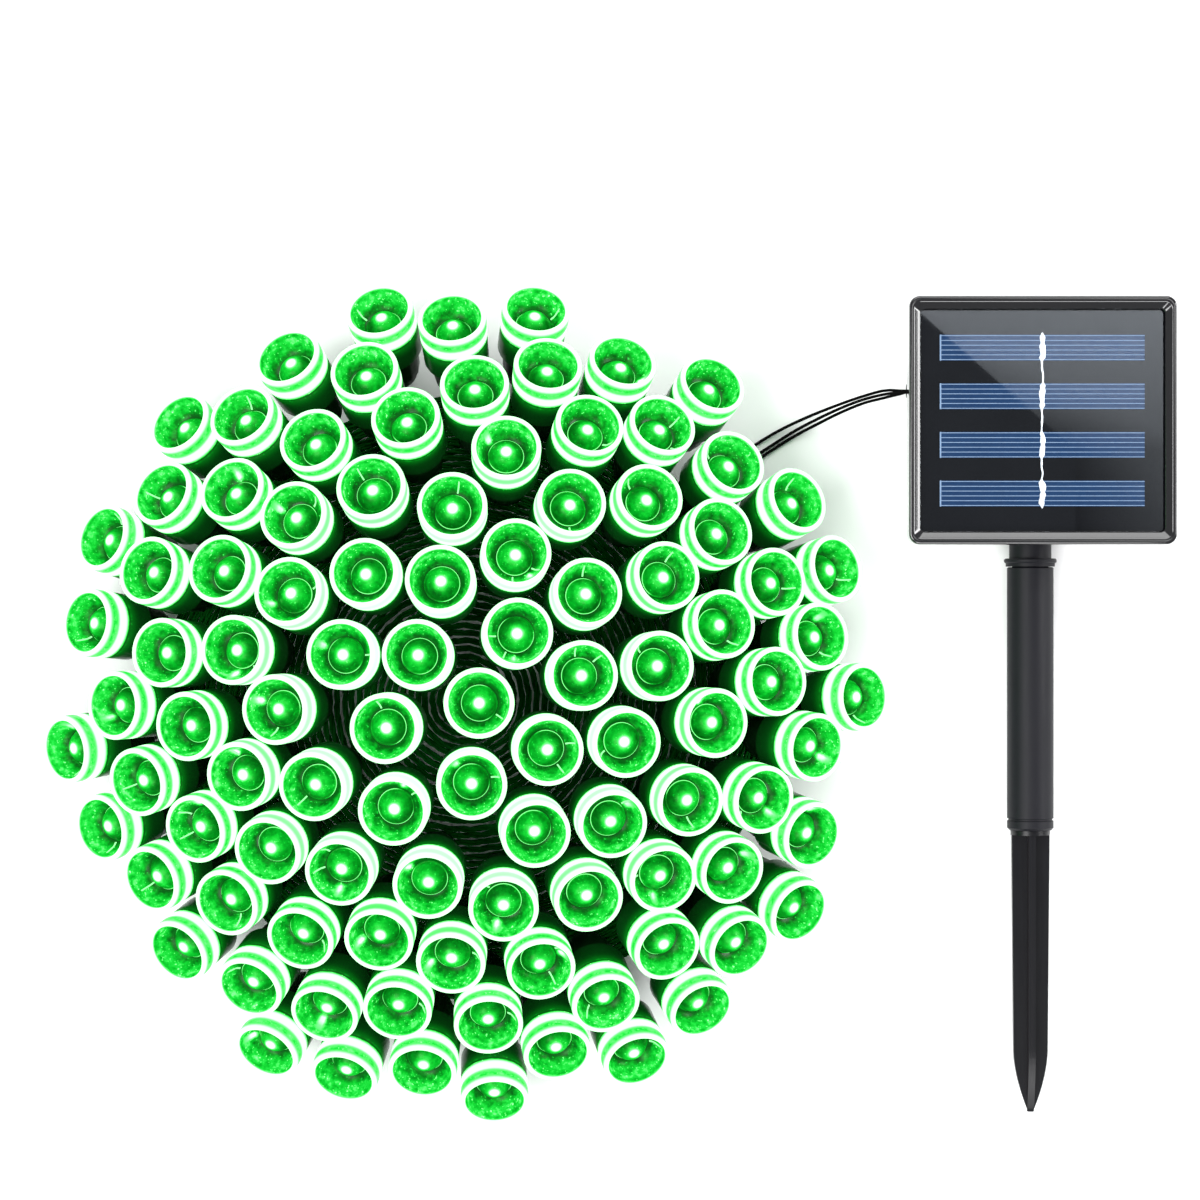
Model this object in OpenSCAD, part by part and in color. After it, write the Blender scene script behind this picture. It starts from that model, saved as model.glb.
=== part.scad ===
// Solar string lights: a bunch of green bulbs on a three-wire string, fed by a small
// solar panel on a push-together ground stake. The set lies flat, as laid out on a table.
// X runs across the stake, -Y runs down the stake to its point, +Z is up from the table.
// The panel tilts on a clevis about a cross bolt, and the stake pulls apart in two places.

/* [Solar panel] */
// Width of the panel's front rim, across the stake
panel_w = 98; // [94:1:102]
// Height of the panel's front rim, along the stake
panel_h = 91; // [88:1:94]
// Depth of the panel from its back to its front rim
panel_d = 23; // [23:0.5:26]
// Radius of the rim's corners
panel_corner = 4; // [2:0.5:6]
// Width of the rim on the left and right of the glass
rim_side = 3.1; // [2.6:0.1:3.6]
// Width of the rim above and below the glass
rim_end = 4.9; // [4:0.1:5.4]
// Number of solar cell strips
strip_count = 4; // [2:1:5]
// Length of one cell strip
strip_l = 75; // [60:1:80]
// Width of one cell strip
strip_w = 9.5; // [7:0.5:11]

/* [Stake] */
// Outside diameter of the stake tube
tube_d = 17.4; // [16.8:0.2:18]
// Length of the stake tube
tube_l = 98.8; // [80:0.2:120]
// Length of the ground spike below the tube
spike_l = 105; // [90:1:120]
// Width of the spike's blades where they leave the tube
spike_w = 14.2; // [12:0.2:14.6]
// Diameter of the collar ring on the stake head
collar_d = 19.7; // [19:0.1:20.5]

/* [Bulbs] */
// Number of bulbs on the string
bulb_count = 100; // [60:1:100]
// Outside diameter of a bulb cap
cap_d = 25; // [23:0.5:25]
// Length of a bulb cap
cap_l = 22; // [20:0.5:23]
// Largest lean of a bulb away from upright, in degrees
lean_max = 39; // [38:0.5:40]
// Radius of the dome that the bulb tops lie on
dome_r = 235; // [235:1:245]

/* [String] */
// Diameter of one insulated wire
wire_d = 1.2; // [1:0.1:1.3]

/* [Hidden] */
$fn = 64;

// Where the stake and the panel lie. The collar rests on the table.
stake_x = 159.5;
stake_z = collar_d / 2;
panel_y = 104;
panel_z = 24;
pivot_y = 119;
pivot_local_z = stake_z - panel_z;
collar_y = 52.1;
tube_top_y = 50.6;
tube_end_y = tube_top_y - tube_l;

// Panel shell: the front case steps in below its rim, and the back cover closes it.
step_in = 2.7;
wall = 2;
case_w = panel_w - 2 * step_in;
case_h = panel_h - 2 * step_in;
case_z = 2.9;
step_z = 13;
ledge_z = panel_d - 7;
laminate_z = ledge_z + 1.8;
window_w = panel_w - 2 * rim_side;
window_h = panel_h - 2 * rim_end;
strip_pitch = 17.8;
boss_x = case_w / 2 - 6.8;
boss_y = case_h / 2 - 7.4;

// Panel inside
cover_t = 1.8;
battery_x = -8;
battery_y = -21.5;
battery_z = 9.2;
battery_d = 14.2;
battery_l = 50;
door_l = 70;
door_w = 21;
door_screw_x = 32;
board_y = 15;
board_z = 6.9;
button_x = 27;
button_ys = [24, 8];
button_d = 8;
gland_y = 11.5;
gland_z = 8.2;

// Clevis and pivot
bolt_r = 2.5;
tongue_t = 8;
lug_t = 4;
lug_in = tongue_t / 2 + 0.3;
lug_out = lug_in + lug_t;
pivot_round_r = 8;
bracket_t = 3;
bracket_w = 30;
bracket_h = 26;

// Stake joints: each spigot slides in the tube's bore with a small running clearance.
bore_r = tube_d / 2 - 1.8;
spigot_r = bore_r - 0.05;
neck_r = 7.9;
head_spigot_l = 32;
spike_spigot_l = 30;

// One bulb, from the end of its cable boot at 0 to the rim of its cap
boot_l = 4.8;
holder_z = 5;
cap_z = 22;
bulb_l = cap_z + cap_l;
seat_z = cap_z + 3;
mouth_r = 10.25;
led_r = 6.3;
led_foot_z = seat_z + 0.3;

// The bunch: bulbs stand on a dome of loosely wound string, with their axes through
// the dome's centre.
bunch_x = -52.2;
bunch_y = 1.7;
dome_z = -143.5;
room_mean = 0.123;
start_swing = 0.05;
settle_rounds = 80;
lift = 2.5;
sway = 2.5;
winding_r = dome_r - bulb_l - lift - 1;
winding_t = 4;
winding_edge = 116;

// ---------------------------------------------------------------- shared shapes

// Outline of a rectangle with round corners, centred
module outline(w, h, r, n = 6) {
  polygon([for (q = [0:3], k = [0:n]) let (a = 90 * q + 90 * k / n,
    sx = (q == 0 || q == 3) ? 1 : -1, sy = q < 2 ? 1 : -1)
    [sx * (w / 2 - r) + r * cos(a), sy * (h / 2 - r) + r * sin(a)]]);
}

module slab(w, h, r, z0, z1) {
  translate([0, 0, z0]) linear_extrude(z1 - z0) outline(w, h, r);
}

module ring_slab(w, h, r, band, z0, z1) {
  translate([0, 0, z0]) linear_extrude(z1 - z0) difference() {
    outline(w, h, r);
    outline(w - 2 * band, h - 2 * band, max(r - band, 0.3));
  }
}

// Places its children in the panel's own frame: centre of the back at the origin
module on_panel() {
  translate([stake_x, panel_y, panel_z]) children();
}

// Turns a shape drawn along +Z so that it runs down the stake, from the height y
module down_stake(y) {
  translate([stake_x, y, stake_z]) rotate([90, 0, 0]) children();
}

// Turns a shape drawn along +Z so that it runs along +X through the tilt pivot
module along_pivot(x) {
  translate([stake_x + x, pivot_y, stake_z]) rotate([0, 90, 0]) children();
}

module disc(r, z0, z1) {
  translate([0, 0, z0]) cylinder(r = r, h = z1 - z0);
}

// ---------------------------------------------------------------- panel shell

module at_bosses() {
  for (sx = [-1, 1], sy = [-1, 1]) translate([sx * boss_x, sy * boss_y, 0]) children();
}

module front_case() {
  color([0.02, 0.02, 0.022]) on_panel() difference() {
    union() {
      difference() {
        union() {
          slab(case_w, case_h, 3, case_z, step_z);
          slab(panel_w, panel_h, panel_corner, step_z, panel_d);
        }
        slab(case_w - 2 * wall, case_h - 2 * wall, 1.2, case_z - 1, ledge_z);
        slab(80, 70, 1, ledge_z - 1, laminate_z + 1);
        slab(window_w, window_h, 1.6, laminate_z - 0.1, panel_d + 1);
      }
      at_bosses() disc(3.2, case_z, ledge_z + 0.5);
    }
    at_bosses() disc(1.1, case_z - 1, ledge_z - 3);
    translate([-case_w / 2 - 1, gland_y, gland_z]) rotate([0, 90, 0])
      cylinder(r = 3.1, h = wall + 2);
  }
}

module cover_gasket() {
  color([0.05, 0.05, 0.05]) on_panel()
    ring_slab(case_w - 0.4, case_h - 0.4, 2.8, 1.4, cover_t + 0.1, case_z - 0.1);
}

module back_cover() {
  color([0.03, 0.03, 0.032]) on_panel() difference() {
    union() {
      slab(case_w - 0.4, case_h - 0.4, 2.8, 0, cover_t);
      ring_slab(case_w - 2 * wall - 0.6, case_h - 2 * wall - 0.6, 1, 1.2,
        cover_t - 0.01, cover_t + 2.2);
      for (sx = [-1, 1], sy = [-1, 1]) translate([sx * 35, board_y + sy * 14, 0])
        disc(2, cover_t - 0.01, board_z - 0.1);
      for (sx = [-1, 1]) translate([battery_x + sx * 29 - 0.8, battery_y - 7, cover_t - 0.01])
        cube([1.6, 14, 11]);
      for (sx = [-1, 1]) translate([battery_x + sx * door_screw_x, battery_y, 0])
        disc(1.8, cover_t - 0.01, 4);
    }
    translate([battery_x, battery_y, 0]) {
      slab(door_l + 0.5, door_w + 0.5, 2, -1, 1.4);
      slab(56.2, 17.2, 1, -1, cover_t + 1);
      for (sx = [-1, 1]) translate([sx * door_screw_x, 0, 0]) disc(0.9, 0, 4.5);
    }
    at_bosses() {
      disc(1.5, -1, cover_t + 1);
      disc(2.9, -1, 0.9);
    }
    for (y = button_ys) translate([button_x, y, 0]) disc(button_d / 2 + 0.2, -1, cover_t + 1);
    at_bracket_screws() disc(1, -1, cover_t + 1);
  }
}

module case_screws() {
  color([0.75, 0.75, 0.76]) on_panel() at_bosses() {
    disc(2.7, 0, 0.8);
    disc(1, 0.79, ledge_z - 4);
  }
}

// ---------------------------------------------------------------- solar laminate

module cell_backsheet() {
  color([0.03, 0.035, 0.045]) on_panel()
    slab(window_w - 0.4, window_h - 0.4, 1.5, laminate_z, laminate_z + 1.1);
}

function strip_y(k) = (k - (strip_count - 1) / 2) * strip_pitch;

module solar_cells() {
  color([0.13, 0.24, 0.47]) on_panel() for (k = [0:strip_count - 1])
    translate([-strip_l / 2, strip_y(k) - strip_w / 2, laminate_z + 1.2])
      cube([strip_l, strip_w, 0.3]);
}

// Tinned ribbon that joins the strips, with a solder pad on each strip
module cell_ribbon() {
  color([0.8, 0.8, 0.78]) on_panel() translate([-0.6, 0, laminate_z + 1.6])
    linear_extrude(0.2) union() {
      square([0.5, strip_y(strip_count - 1) * 2 + strip_w + 2], center = true);
      for (k = [0:strip_count - 1]) translate([0, strip_y(k)])
        square([1.8, strip_w * 0.8], center = true);
    }
}

module solar_glass() {
  color([0.6, 0.7, 0.75, 0.35]) on_panel()
    slab(window_w - 0.4, window_h - 0.4, 1.5, laminate_z + 2, laminate_z + 3.3);
}

// ---------------------------------------------------------------- panel inside

module circuit_board() {
  color([0.05, 0.3, 0.12]) on_panel() translate([0, board_y, 0])
    slab(76, 34, 1, board_z, board_z + 1.6);
}

module board_components() {
  color([0.08, 0.08, 0.08]) on_panel() translate([0, board_y, board_z + 1.7]) {
    translate([-12, -4, 0]) cube([5, 4, 1.5]);
    translate([-2, -6, 0]) cylinder(r = 3.4, h = 4);
    translate([14, 4, 0]) cylinder(r = 3.2, h = 6.2);
    translate([4, 6, 0]) cube([3, 2.6, 1.2]);
    translate([-24, 6, 0]) cube([8, 3, 3]);
  }
}

module tact_switches() {
  color([0.2, 0.2, 0.2]) on_panel() for (y = button_ys)
    translate([button_x - 3, y - 3, board_z - 2.7]) cube([6, 6, 2.6]);
}

module battery() {
  color([0.2, 0.5, 0.25]) on_panel()
    translate([battery_x - battery_l / 2, battery_y, battery_z]) rotate([0, 90, 0]) {
      cylinder(r = battery_d / 2, h = battery_l - 1.2);
      cylinder(r = 2.7, h = battery_l);
    }
}

module battery_contacts() {
  color([0.7, 0.68, 0.6]) on_panel() for (sx = [-1, 1])
    translate([battery_x + sx * 27.7, battery_y, battery_z]) {
      translate([-0.3, -4.5, -5.5]) cube([0.6, 9, 11]);
      rotate([0, -90 * sx, 0]) cylinder(r1 = 3, r2 = 2.2, h = 2.4);
    }
}

module battery_door() {
  color([0.03, 0.03, 0.032]) on_panel() translate([battery_x, battery_y, 0]) difference() {
    union() {
      slab(door_l, door_w, 1.8, 0, 0.8);
      slab(55.6, 16.6, 0.8, 0.79, 1.6);
    }
    for (sx = [-1, 1]) translate([sx * door_screw_x, 0, 0]) disc(1.2, -1, 2);
    for (k = [-3:3]) translate([k * 3 + 15, 0, 0]) slab(1.2, 9, 0.5, -1, 0.4);
  }
}

module battery_door_gasket() {
  color([0.06, 0.06, 0.06]) on_panel() translate([battery_x, battery_y, 0])
    ring_slab(59.4, 20, 1.5, 1.2, 0.85, 1.35);
}

module battery_door_screws() {
  color([0.75, 0.75, 0.76]) on_panel() for (sx = [-1, 1])
    translate([battery_x + sx * door_screw_x, battery_y, -0.9]) {
      cylinder(r = 2, h = 0.8);
      translate([0, 0, 0.79]) cylinder(r = 0.8, h = 2.2);
    }
}

// Rubber push button: cap, inner flange that keeps it in the cover, and stem
module push_button(y) {
  on_panel() translate([button_x, y, 0]) {
    disc(button_d / 2, -1, 1.91);
    disc(button_d / 2 + 0.9, 1.9, 2.6);
    disc(1.5, 2.59, 3.1);
  }
}

module power_button() {
  color([0.6, 0.1, 0.08]) push_button(button_ys[0]);
}

module mode_button() {
  color([0.12, 0.12, 0.13]) push_button(button_ys[1]);
}

module cable_gland() {
  color([0.04, 0.04, 0.04]) on_panel() translate([-case_w / 2 - 2.4, gland_y, gland_z])
    rotate([0, 90, 0]) rotate_extrude() polygon([[1.7, 0], [2.4, 0], [3, 0.8], [3, 4.5],
      [4, 4.5], [4, 5.8], [1.7, 5.8]]);
}

// ---------------------------------------------------------------- tilt clevis

module at_bracket_screws() {
  for (sx = [-1, 1], sy = [-1, 1])
    translate([sx * 11.8, pivot_y - panel_y + sy * 9.8, 0]) children();
}

module tilt_bracket() {
  color([0.03, 0.03, 0.033]) difference() {
    union() {
      on_panel() difference() {
        translate([0, pivot_y - panel_y, 0])
          slab(bracket_w, bracket_h, 2.5, -bracket_t, -0.1);
        at_bracket_screws() disc(1.3, -bracket_t - 1, 1);
      }
      for (x = [-lug_out, lug_in]) translate([stake_x + x, pivot_y, stake_z])
        rotate([90, 0, 90]) linear_extrude(lug_t) union() {
          circle(r = pivot_round_r);
          translate([-pivot_round_r, 0])
            square([2 * pivot_round_r, -pivot_local_z - bracket_t + 0.01]);
        }
    }
    along_pivot(-20) cylinder(r = bolt_r + 0.05, h = 40);
  }
}

module bracket_screws() {
  color([0.75, 0.75, 0.76]) on_panel() at_bracket_screws() {
    disc(2.1, -bracket_t - 1.1, -bracket_t - 0.1);
    disc(0.9, -bracket_t - 0.11, cover_t);
  }
}

module pivot_bolt() {
  color([0.7, 0.7, 0.72]) {
    along_pivot(-lug_out - 3.4) cylinder(r = 4.4, h = 3.2, $fn = 6);
    along_pivot(-lug_out - 0.3) cylinder(r = bolt_r, h = 2 * lug_out + 9);
  }
}

module pivot_washer() {
  color([0.75, 0.75, 0.76]) along_pivot(lug_out + 0.15) difference() {
    cylinder(r = 5.2, h = 0.9);
    translate([0, 0, -1]) cylinder(r = bolt_r + 0.2, h = 3);
  }
}

// Knob with round finger lobes and a plain bore for the bolt
module thumb_nut() {
  color([0.03, 0.03, 0.033]) along_pivot(lug_out + 1.4) difference() {
    union() {
      cylinder(r = 6.4, h = 6.8);
      for (k = [0:7]) rotate([0, 0, 45 * k]) translate([6.2, 0, 0.4])
        cylinder(r = 2.1, h = 6, $fn = 24);
    }
    translate([0, 0, -1]) cylinder(r = bolt_r + 0.08, h = 9);
  }
}

// ---------------------------------------------------------------- stake

module stake_head() {
  color([0.05, 0.05, 0.06]) difference() {
    union() {
      down_stake(pivot_y - 11) cylinder(r = neck_r, h = pivot_y - 11 - collar_y);
      translate([stake_x - tongue_t / 2, pivot_y - 13, stake_z - pivot_round_r + 0.4])
        cube([tongue_t, 13, 2 * pivot_round_r - 0.8]);
      along_pivot(-tongue_t / 2) cylinder(r = pivot_round_r - 0.4, h = tongue_t);
      down_stake(collar_y + 1.8) rotate_extrude() polygon([[0, 0], [collar_d / 2 - 0.5, 0],
        [collar_d / 2, 0.5], [collar_d / 2, 1.3], [collar_d / 2 - 0.5, 1.8],
        [tube_d / 2 + 0.5, 1.8], [tube_d / 2 + 0.5, 3], [0, 3]]);
      down_stake(collar_y) cylinder(r = spigot_r, h = head_spigot_l);
    }
    along_pivot(-10) cylinder(r = bolt_r + 0.05, h = 20);
  }
}

module stake_tube() {
  groove_z = tube_l - 4;
  color([0.09, 0.09, 0.11]) down_stake(tube_top_y) rotate_extrude() polygon([
    [bore_r, 0], [tube_d / 2 - 0.4, 0], [tube_d / 2, 0.4], [tube_d / 2, groove_z - 0.5],
    [tube_d / 2 - 0.5, groove_z - 0.3], [tube_d / 2 - 0.5, groove_z + 0.3],
    [tube_d / 2, groove_z + 0.5], [tube_d / 2, tube_l - 0.9], [tube_d / 2 - 0.9, tube_l],
    [bore_r, tube_l]]);
}

// Half width of a spike blade at a distance t down it, with an ogive point
spike_nose = 23;
function blade(t) = let (straight = spike_l - spike_nose, side = spike_w / 2 - 0.7 * t / straight)
  t <= straight ? side : let (u = (t - straight) / spike_nose)
    0.9 + (spike_w / 2 - 1.6) * (1 - pow(u, 1.7));

module blade_outline(scale_w) {
  steps = [for (k = [0:10]) spike_l - spike_nose + spike_nose * k / 10];
  side = concat([0], steps);
  polygon(concat([for (t = side) [scale_w * blade(t), -t]],
    [for (k = [len(side) - 1:-1:0]) [-scale_w * blade(side[k]), -side[k]]]));
}

module ground_spike() {
  blade_t = 2.6;
  color([0.03, 0.03, 0.032]) {
    down_stake(tube_end_y + spike_spigot_l) cylinder(r = spigot_r, h = spike_spigot_l + 0.3);
    down_stake(tube_end_y - 0.2) cylinder(r = spike_w / 2 + 0.3, h = 1.6);
    translate([stake_x, tube_end_y - 0.9, stake_z - blade_t / 2])
      linear_extrude(blade_t) blade_outline(1);
    translate([stake_x - blade_t / 2, tube_end_y - 0.9, stake_z]) rotate([0, 90, 0])
      linear_extrude(blade_t) blade_outline(0.94);
  }
}

// ---------------------------------------------------------------- bulbs

function unit(v) = v / norm(v);
function total(list) = [for (v = list) 1] * list;
function noise(i, k) = let (s = sin(i * 7417.3 + k * 3571.9) * 43.7585) s - floor(s);

function swing(i, k) = 2 * noise(i, k) - 1;

// Start: equal areas of the dome, each point turned by the golden angle from the last and
// then moved a little, so that the bunch isn't regular
function start_axes() = [for (i = [0:bulb_count - 1])
  let (c = 1 - (i + 0.5) / bulb_count * (1 - cos(lean_max)), s = sqrt(1 - c * c))
  unit([s * cos(137.508 * i) + start_swing * swing(i, 3),
    s * sin(137.508 * i) + start_swing * swing(i, 4), c])];

// Room that each bulb asks for, as a chord of the unit sphere, a little different for each
function room(i) = room_mean * (0.96 + 0.08 * noise(i, 1));

function push(axes, i) = total([for (j = [0:len(axes) - 1]) let (v = axes[i] - axes[j],
  d = norm(v), gap = (room(i) + room(j)) / 2 - d)
  (j == i || gap < 0) ? [0, 0, 0] : v / d * gap * 0.45]);

function kept_in(v) = let (a = atan2(v[1], v[0]), u = unit(v))
  u[2] >= cos(lean_max) ? u
    : [sin(lean_max) * cos(a), sin(lean_max) * sin(a), cos(lean_max)];

// Bulbs that stand too close push each other apart, over and over
function settled(axes, rounds) = rounds == 0 ? axes
  : settled([for (i = [0:len(axes) - 1]) kept_in(axes[i] + push(axes, i))], rounds - 1);

// Places its children at each bulb, with the bulb's axis along +Z and its boot at 0
module at_bulbs() {
  axes = settled(start_axes(), settle_rounds);
  for (i = [0:bulb_count - 1]) translate([bunch_x, bunch_y, dome_z])
    rotate([0, 0, atan2(axes[i][1], axes[i][0])]) rotate([0, acos(axes[i][2]), 0])
      translate([0, 0, dome_r - cap_l + lift * swing(i, 2)])
        rotate([sway * swing(i, 5), sway * swing(i, 6), 0])
          translate([0, 0, -cap_z]) children();
}

// Clear cap: a tube with a groove round it and a dished top that closes round the LED
module bulb_caps() {
  r = cap_d / 2;
  dish_z = cap_l - 9.4;
  color([0.2, 1, 0.3, 0.6]) at_bulbs() translate([0, 0, cap_z]) rotate_extrude()
    polygon([[mouth_r, 0], [r - 0.5, 0], [r - 0.3, cap_l / 2 - 0.5],
      [r - 0.7, cap_l / 2 - 0.1], [r - 0.7, cap_l / 2 + 0.1], [r - 0.2, cap_l / 2 + 0.5],
      [r, cap_l - 1], [r - 0.4, cap_l - 0.25], [r - 0.9, cap_l], [r - 1.3, cap_l],
      [r - 1.8, cap_l - 1.2], [r - 3.3, dish_z + 2.4], [r - 4.5, dish_z + 0.6],
      [led_r + 0.3, dish_z], [led_r + 0.3, dish_z - 1], [r - 4.1, dish_z - 0.6],
      [r - 2.5, dish_z + 1.9], [r - 1.6, dish_z + 4.4], [r - 1.6, 3.4], [mouth_r, 3.2]]);
}

module led_lenses() {
  color([0.5, 1, 0.5, 0.7]) at_bulbs() translate([0, 0, led_foot_z]) difference() {
    union() {
      cylinder(r = led_r + 0.9, h = 1.3);
      cylinder(r = led_r, h = 8.2);
      intersection() {
        translate([0, 0, 8.2]) sphere(r = led_r);
        cylinder(r = led_r + 1, h = 20);
      }
    }
    translate([0, 0, -1]) cylinder(r = 2.6, h = 8.6);
  }
}

module led_chips() {
  color([0.9, 0.9, 0.7]) at_bulbs() translate([0, 0, led_foot_z + 5.4])
    cylinder(r1 = 1.6, r2 = 2.2, h = 1.8);
}

module led_legs() {
  color([0.75, 0.75, 0.75]) at_bulbs() for (sx = [-1, 1])
    translate([sx * 1.27, 0, holder_z + 4]) cylinder(r = 0.45, h = led_foot_z + 5.2 - holder_z - 4);
}

module bulb_holders() {
  color([0.02, 0.12, 0.04]) at_bulbs() translate([0, 0, holder_z]) rotate_extrude()
    polygon([[2, 0], [6, 0], [6.8, 0.8], [8.4, 4.5], [9.6, 15], [9.6, 16.6],
      [mouth_r - 0.25, 16.9], [mouth_r - 0.25, seat_z - holder_z], [4.5, seat_z - holder_z],
      [4.5, 2.2], [2, 2.2]]);
}

module holder_boots() {
  color([0.02, 0.06, 0.03]) at_bulbs() rotate_extrude()
    polygon([[0, 0], [2.2, 0], [3.1, 3], [3.4, boot_l], [0, boot_l]]);
}

// ---------------------------------------------------------------- string

// Outer shape of the wound string under the bulbs: a low dome on the table, hollow below
module string_winding() {
  edge = asin(winding_edge / winding_r);
  inner_r = winding_r - winding_t;
  inner_edge = acos(-dome_z / inner_r);
  steps = 16;
  color([0.01, 0.05, 0.02]) translate([bunch_x, bunch_y, dome_z]) rotate_extrude()
    polygon(concat([for (k = [0:steps]) winding_r * [sin(edge * k / steps), cos(edge * k / steps)]],
      [[winding_edge, -dome_z], [inner_r * sin(inner_edge), -dome_z]],
      [for (k = [steps - 1:-1:0])
        inner_r * [sin(inner_edge * k / steps), cos(inner_edge * k / steps)]]));
}

// Route of each wire of the lead, from the gland down to the table and in under the
// bulbs. The first and last points are beside the gland and beside the winding.
route_a = [[110, 116.4, 32], [106, 116.2, 31.6], [101, 115.6, 28.5], [95, 114.4, 22],
  [88, 112.4, 13.5], [80, 109.4, 6.5], [71, 105.6, 2.4], [61, 100, 0.9], [50, 92.2, 0.8],
  [42.2, 84.2, 0.8], [36.5, 77.1, 0.8]];
route_b = [[110, 115, 32.9], [106, 114.9, 32.4], [101, 114.2, 29], [95, 112.7, 21.8],
  [88, 110.1, 12.9], [80, 106.4, 5.8], [71, 101.7, 2], [61, 95.7, 0.9], [50, 88.5, 0.8],
  [42.9, 82.2, 0.8], [37.7, 75.7, 0.8]];
route_c = [[110, 113.8, 31.6], [106, 113.6, 31.1], [101, 112.7, 28.2], [95, 111, 21],
  [88, 108.2, 12.3], [80, 104.5, 5.1], [71, 99.8, 1.6], [61, 93.8, 0.9], [50, 86.6, 0.8],
  [43.8, 80.4, 0.8], [38.9, 74.2, 0.8]];

// Point on a smooth curve through the route, at the parameter t
function curve(route, t) = let (n = len(route) - 1, i = min(floor(t), n - 1), u = t - i,
  p0 = route[max(i - 1, 0)], p1 = route[i], p2 = route[i + 1], p3 = route[min(i + 2, n)])
  0.5 * (2 * p1 + (p2 - p0) * u + (2 * p0 - 5 * p1 + 4 * p2 - p3) * u * u
    + (3 * p1 - p0 - 3 * p2 + p3) * u * u * u);

// One round wire swept along a route, with closed ends
module wire(route) {
  sides = 8;
  rings = 26;
  n = len(route) - 1;
  at = [for (k = [0:rings - 1]) curve(route, n * k / (rings - 1))];
  points = [for (k = [0:rings - 1]) let (
      along = unit(at[min(k + 1, rings - 1)] - at[max(k - 1, 0)]),
      side = unit(cross([0, 0, 1], along)), up = cross(along, side))
    for (s = [0:sides - 1]) let (a = 360 * s / sides)
      at[k] + wire_d / 2 * (cos(a) * side + sin(a) * up)];
  walls = [for (k = [0:rings - 2], s = [0:sides - 1]) let (a = k * sides + s,
      b = k * sides + (s + 1) % sides)
    [a, a + sides, b + sides, b]];
  polyhedron(points, concat([[for (s = [0:sides - 1]) s]], walls,
    [[for (s = [sides - 1:-1:0]) (rings - 1) * sides + s]]), convexity = 4);
}

module lead_wire_a() {
  color([0.02, 0.02, 0.02]) wire(route_a);
}

module lead_wire_b() {
  color([0.02, 0.02, 0.02]) wire(route_b);
}

module lead_wire_c() {
  color([0.02, 0.02, 0.02]) wire(route_c);
}

// ---------------------------------------------------------------- the part

front_case();
back_cover();
cover_gasket();
case_screws();
solar_glass();
solar_cells();
cell_ribbon();
cell_backsheet();
circuit_board();
board_components();
tact_switches();
battery();
battery_contacts();
battery_door();
battery_door_gasket();
battery_door_screws();
power_button();
mode_button();
cable_gland();
tilt_bracket();
bracket_screws();
pivot_bolt();
pivot_washer();
thumb_nut();
stake_head();
stake_tube();
ground_spike();
bulb_caps();
led_lenses();
led_chips();
led_legs();
bulb_holders();
holder_boots();
string_winding();
lead_wire_a();
lead_wire_b();
lead_wire_c();
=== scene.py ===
# %% [markdown]
# # Solar string lights: a bunch of lit bulbs, a solar panel and its ground stake
#
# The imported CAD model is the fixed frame, in metres: the table is at Z = 0, the stake
# lies along Y, and the bunch of bulbs stands to the left of it. This notebook dresses
# that frame. Each step first says what the real piece is and why it is made this way.

# %% Load the frame
import bmesh
import bpy
import itertools
import math
import numpy as np
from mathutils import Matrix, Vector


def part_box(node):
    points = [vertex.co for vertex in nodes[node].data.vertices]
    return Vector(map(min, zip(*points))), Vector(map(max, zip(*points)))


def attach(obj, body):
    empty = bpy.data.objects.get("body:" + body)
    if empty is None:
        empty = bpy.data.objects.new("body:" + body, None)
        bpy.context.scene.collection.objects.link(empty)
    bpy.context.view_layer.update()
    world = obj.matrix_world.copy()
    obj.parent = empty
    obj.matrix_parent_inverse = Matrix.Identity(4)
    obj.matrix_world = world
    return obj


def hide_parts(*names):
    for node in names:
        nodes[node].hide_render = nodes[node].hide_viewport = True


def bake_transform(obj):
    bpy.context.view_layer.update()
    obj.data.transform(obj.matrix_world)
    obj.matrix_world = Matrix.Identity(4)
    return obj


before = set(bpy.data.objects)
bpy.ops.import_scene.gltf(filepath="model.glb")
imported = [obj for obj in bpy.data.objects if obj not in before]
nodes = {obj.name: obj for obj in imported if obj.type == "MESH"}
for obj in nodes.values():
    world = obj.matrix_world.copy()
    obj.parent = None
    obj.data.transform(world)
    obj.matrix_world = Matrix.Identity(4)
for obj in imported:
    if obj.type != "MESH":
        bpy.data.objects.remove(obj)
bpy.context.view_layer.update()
MM = 0.001

# %% [markdown]
# ## Camera
#
# The object lies flat and is seen from straight above. A long lens keeps the side walls
# of the outer bulbs short, so the camera stands 1.2 m over the panel's face. It looks at
# a point a little above the middle, because the bunch and the stake fill the lower part
# of the square view.

# %% Camera
panel_low, panel_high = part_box("front_case")
view_width = 0.438
view_x, view_y = -0.0024, 0.0383
camera_height = 1.2
sensor = 36.0
camera_data = bpy.data.cameras.new("camera")
camera_data.sensor_width = sensor
camera_data.lens = sensor * camera_height / view_width
camera = bpy.data.objects.new("camera", camera_data)
camera.location = (view_x, view_y, panel_high.z + camera_height)
bpy.context.scene.collection.objects.link(camera)
bpy.context.scene.camera = camera
bpy.context.scene.view_settings.view_transform = "Standard"
print("camera at", [round(c, 4) for c in camera.location], "lens", round(camera_data.lens, 1))

# %% [markdown]
# ## Shader maths as Python
#
# A finish is a node tree. Wiring nodes by hand hides the idea, so one small class wraps a
# socket, and plus, minus, times and power on it add the Math nodes. Every other node
# comes from one method, `add`, which sets the node up first and then fills its sockets.


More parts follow.
